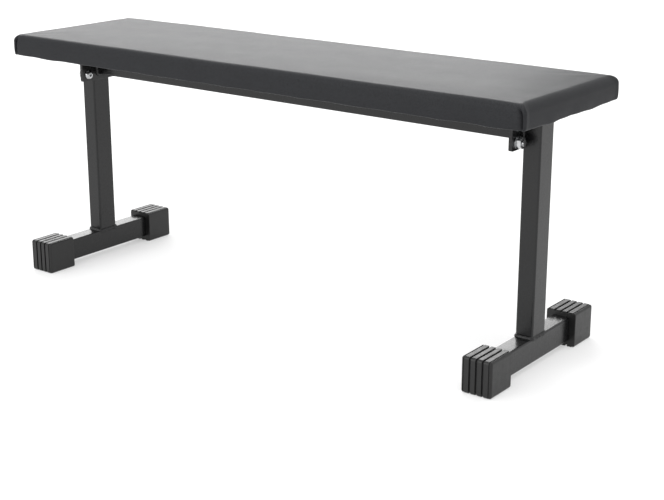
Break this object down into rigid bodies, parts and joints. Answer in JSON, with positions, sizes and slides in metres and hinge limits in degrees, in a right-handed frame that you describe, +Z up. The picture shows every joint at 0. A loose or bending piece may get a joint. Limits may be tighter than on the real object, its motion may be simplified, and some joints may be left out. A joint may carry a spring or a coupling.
{
  "type": "flat weight bench",
  "caption": "Flat weight bench: long padded board on a bolted steel frame with two T-shaped legs and ribbed rubber feet.",
  "frame": {"origin": "on the floor, under the middle of the bench", "axes": "+X along the bench, +Y across it, +Z up"},
  "size_m": [1.06, 0.318, 0.44],
  "materials": {
    "vinyl_cover": "satin",
    "foam": "matt",
    "plywood": "matt",
    "dust_cloth": "matt",
    "black_powder_coat": "satin",
    "zinc": "bright zinc plated",
    "black_rubber": "matt",
    "black_plastic": "matt"
  },
  "bodies": {
    "root": {"bracket_welds": "black_powder_coat", "left_base_weld": "black_powder_coat", "left_flange_bolts": "zinc", "left_flange_nuts": "zinc", "left_flange_washers": "zinc", "left_flange_welds": "black_powder_coat", "left_foot_tube": "black_powder_coat", "left_front_foot_cap": "black_rubber", "left_leg_flange": "black_powder_coat", "left_pad_bracket": "black_powder_coat", "left_rail_end_plate": "black_powder_coat", "left_rail_weld": "black_powder_coat", "left_rear_foot_cap": "black_rubber", "left_top_plug": "black_plastic", "left_upright": "black_powder_coat", "pad_board": "plywood", "pad_cover": "vinyl_cover", "pad_dust_cloth": "dust_cloth", "pad_foam": "foam", "pad_screw_washers": "zinc", "pad_screws": "zinc", "pad_staples": "zinc", "pad_tee_nuts": "zinc", "rail_tube": "black_powder_coat", "right_base_weld": "black_powder_coat", "right_flange_bolts": "zinc", "right_flange_nuts": "zinc", "right_flange_washers": "zinc", "right_flange_welds": "black_powder_coat", "right_foot_tube": "black_powder_coat", "right_front_foot_cap": "black_rubber", "right_leg_flange": "black_powder_coat", "right_pad_bracket": "black_powder_coat", "right_rail_end_plate": "black_powder_coat", "right_rail_weld": "black_powder_coat", "right_rear_foot_cap": "black_rubber", "right_top_plug": "black_plastic", "right_upright": "black_powder_coat"}
  },
  "joints": []
}
